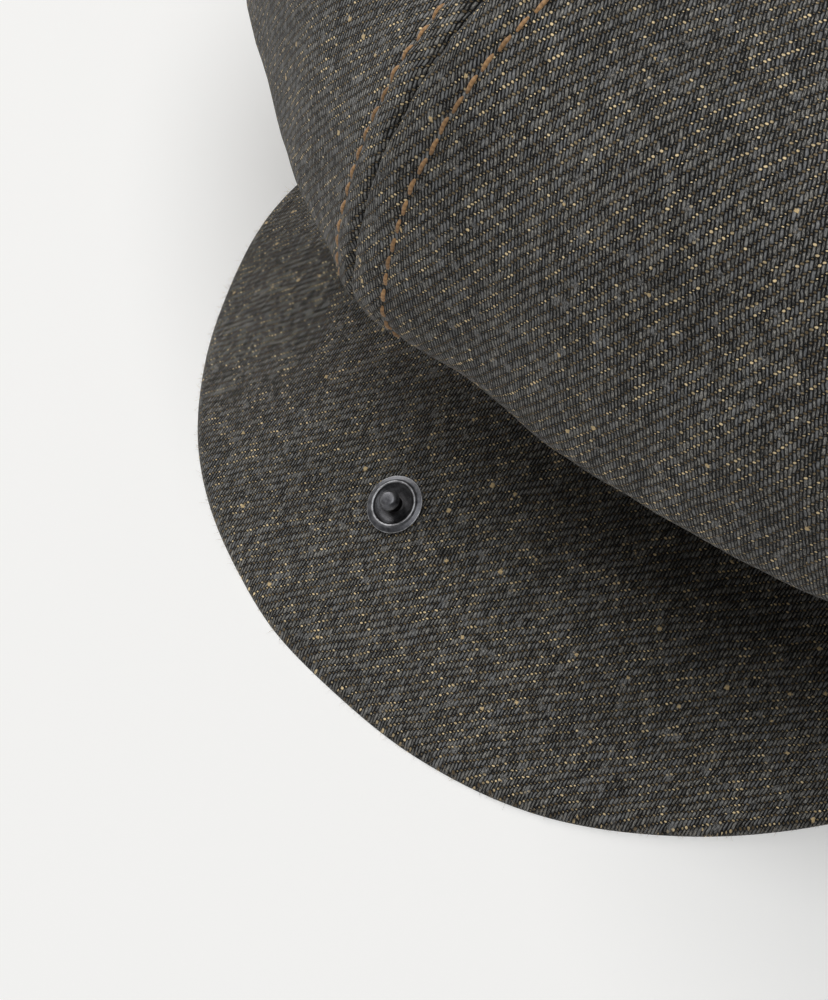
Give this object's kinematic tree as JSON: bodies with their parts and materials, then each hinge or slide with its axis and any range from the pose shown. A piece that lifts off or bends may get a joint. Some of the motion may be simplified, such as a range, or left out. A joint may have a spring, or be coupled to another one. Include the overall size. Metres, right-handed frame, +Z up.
{
  "type": "work cap",
  "caption": "Soft panelled work cap with a full round crown that overhangs an arched crescent peak, a plain headband, a covered top button and a snap stud on the peak.",
  "frame": {"origin": "on the table, at the centre of the cap's bounding box seen from above", "axes": "-Y towards the front of the peak, +X to the right seen from the front, +Z up from the table that the cap rests on"},
  "size_m": [0.2742, 0.3073, 0.1467],
  "materials": {
    "twill": "coarse slubby wool and cotton twill, charcoal warp over a tan flecked weft, matt",
    "snap_metal": "dark gunmetal plating, satin, bright on the ring's edge"
  },
  "bodies": {
    "root": {"crown_panel_1": "twill", "crown_panel_2": "twill", "crown_panel_3": "twill", "crown_panel_4": "twill", "crown_panel_5": "twill", "crown_panel_6": "twill", "crown_panel_7": "twill", "crown_panel_8": "twill", "band": "twill", "peak": "twill", "top_button": "twill", "snap_stud": "snap_metal", "snap_back": "snap_metal", "snap_socket": "snap_metal"}
  },
  "joints": []
}
